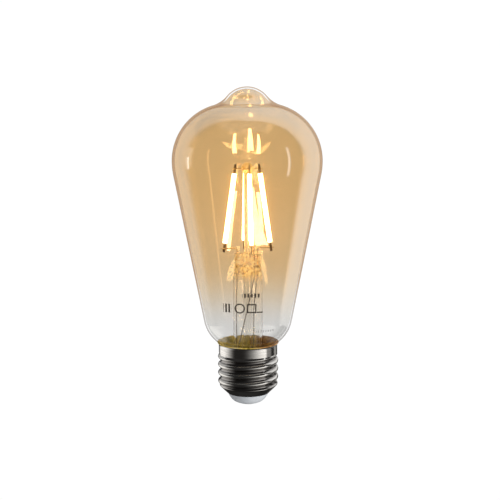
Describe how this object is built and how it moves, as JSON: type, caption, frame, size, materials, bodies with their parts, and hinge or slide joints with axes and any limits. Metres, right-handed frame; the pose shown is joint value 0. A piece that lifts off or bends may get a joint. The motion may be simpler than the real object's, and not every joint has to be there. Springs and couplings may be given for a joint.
{
  "type": "smart light bulb",
  "caption": "Tapered amber glass smart lamp with lit LED filaments on a glass stem, on a threaded nickel screw cap that holds its driver and radio.",
  "frame": {"origin": "centre of the flat contact face at the very bottom of the screw cap, on the lamp's axis", "axes": "+Z along the lamp's axis, from the contact to the tip of the glass; +X towards the right filament, -Y towards the front"},
  "size_m": [0.064, 0.064, 0.1368],
  "materials": {
    "amber_glass": "clear soda-lime glass with a thin amber coating that fades out towards the neck",
    "clear_glass": "clear lead-free stem glass",
    "phosphor_silicone": "yellow phosphor in silicone, lit warm white",
    "ceramic_strip": "white translucent ceramic",
    "led_chip": "polished sapphire chips",
    "tab_steel": "plated steel strip",
    "nickel_wire": "drawn nickel wire",
    "seal_wire_metal": "copper-clad seal wire, red in the glass",
    "tinned_copper": "tinned copper wire",
    "nickel_plate": "bright nickel plate on rolled sheet",
    "white_plastic": "white moulded plastic",
    "contact_brass": "tinned brass",
    "basing_cement": "set basing cement",
    "sleeve_film": "rolled insulating film",
    "circuit_board": "green solder mask",
    "can_aluminium": "aluminium can in a dark film sleeve",
    "black_rubber": "matt rubber bung",
    "ferrite": "matt dark ferrite",
    "enamelled_copper": "enamelled copper",
    "chip_resin": "moulded resin",
    "chip_ceramic": "tan ceramic blocks",
    "resistor_lacquer": "lacquered resistor body"
  },
  "bodies": {
    "root": {"basing_cement": "basing_cement", "bulk_capacitor": "can_aluminium", "cap_insulator": "white_plastic", "cap_shell": "nickel_plate", "capacitor_bung": "black_rubber", "centre_lead": "tinned_copper", "centre_post": "clear_glass", "chip_capacitors": "chip_ceramic", "common_crossbar": "nickel_wire", "contact_pin": "contact_brass", "contact_plate": "contact_brass", "driver_board": "circuit_board", "driver_chip": "chip_resin", "driver_sleeve": "sleeve_film", "exhaust_tube": "clear_glass", "filament_back_chips": "led_chip", "filament_back_coating": "phosphor_silicone", "filament_back_strip": "ceramic_strip", "filament_back_tabs": "tab_steel", "filament_front_chips": "led_chip", "filament_front_coating": "phosphor_silicone", "filament_front_strip": "ceramic_strip", "filament_front_tabs": "tab_steel", "filament_left_chips": "led_chip", "filament_left_coating": "phosphor_silicone", "filament_left_strip": "ceramic_strip", "filament_left_tabs": "tab_steel", "filament_right_chips": "led_chip", "filament_right_coating": "phosphor_silicone", "filament_right_strip": "ceramic_strip", "filament_right_tabs": "tab_steel", "fusible_resistor": "resistor_lacquer", "glass_envelope": "amber_glass", "glass_stem": "clear_glass", "header_pins": "contact_brass", "inductor_core": "ferrite", "inductor_winding": "enamelled_copper", "inner_lead_common": "nickel_wire", "inner_lead_left": "nickel_wire", "inner_lead_right": "nickel_wire", "outer_lead_common": "tinned_copper", "outer_lead_left": "tinned_copper", "outer_lead_right": "tinned_copper", "radio_antenna": "enamelled_copper", "radio_board": "circuit_board", "radio_chip": "chip_resin", "rectifier_bridge": "chip_resin", "seal_wires": "seal_wire_metal", "shell_lead": "tinned_copper", "upper_bridge_cool": "nickel_wire", "upper_bridge_warm": "nickel_wire"}
  },
  "joints": []
}
